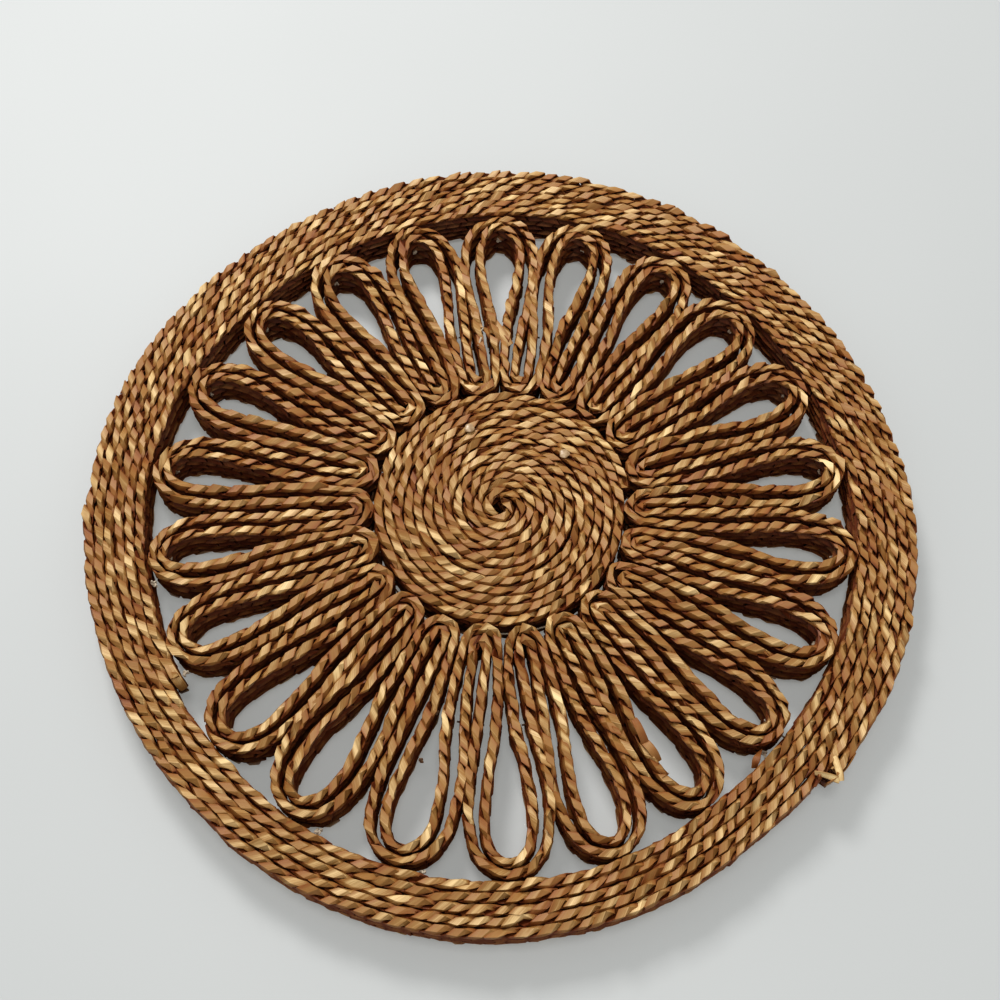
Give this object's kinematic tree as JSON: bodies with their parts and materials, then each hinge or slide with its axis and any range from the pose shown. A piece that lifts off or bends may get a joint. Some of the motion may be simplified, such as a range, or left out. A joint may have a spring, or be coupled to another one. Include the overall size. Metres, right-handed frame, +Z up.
{
  "type": "chair seat pad",
  "caption": "Round openwork chair seat pad of straw plait on edge: wound centre, ring of looped petals and wound rim, sewn with thread.",
  "frame": {"origin": "middle of the underside, on the surface that the pad lies on", "axes": "+Z up through the pad's thickness; +X and +Y across the pad, with the rim plait's outer end 320.5 degrees round from +X"},
  "size_m": [0.35, 0.35, 0.0226],
  "materials": {
    "straw_plait": "dry straw with a soft sheen",
    "sewing_thread": "matte",
    "clear_glue": "satin"
  },
  "bodies": {
    "root": {"center_coil": "straw_plait", "petal_outer_plait": "straw_plait", "petal_inner_plait_long": "straw_plait", "petal_inner_plait_short": "straw_plait", "rim_coil": "straw_plait", "splice_strand_end": "straw_plait", "top_strand_end": "straw_plait", "center_thread": "sewing_thread", "hub_thread": "sewing_thread", "hub_tie_thread": "sewing_thread", "petal_side_thread": "sewing_thread", "petal_tip_thread": "sewing_thread", "petal_tip_knots": "sewing_thread", "rim_thread": "sewing_thread", "joint_knots": "sewing_thread", "glue_dots": "clear_glue"}
  },
  "joints": []
}
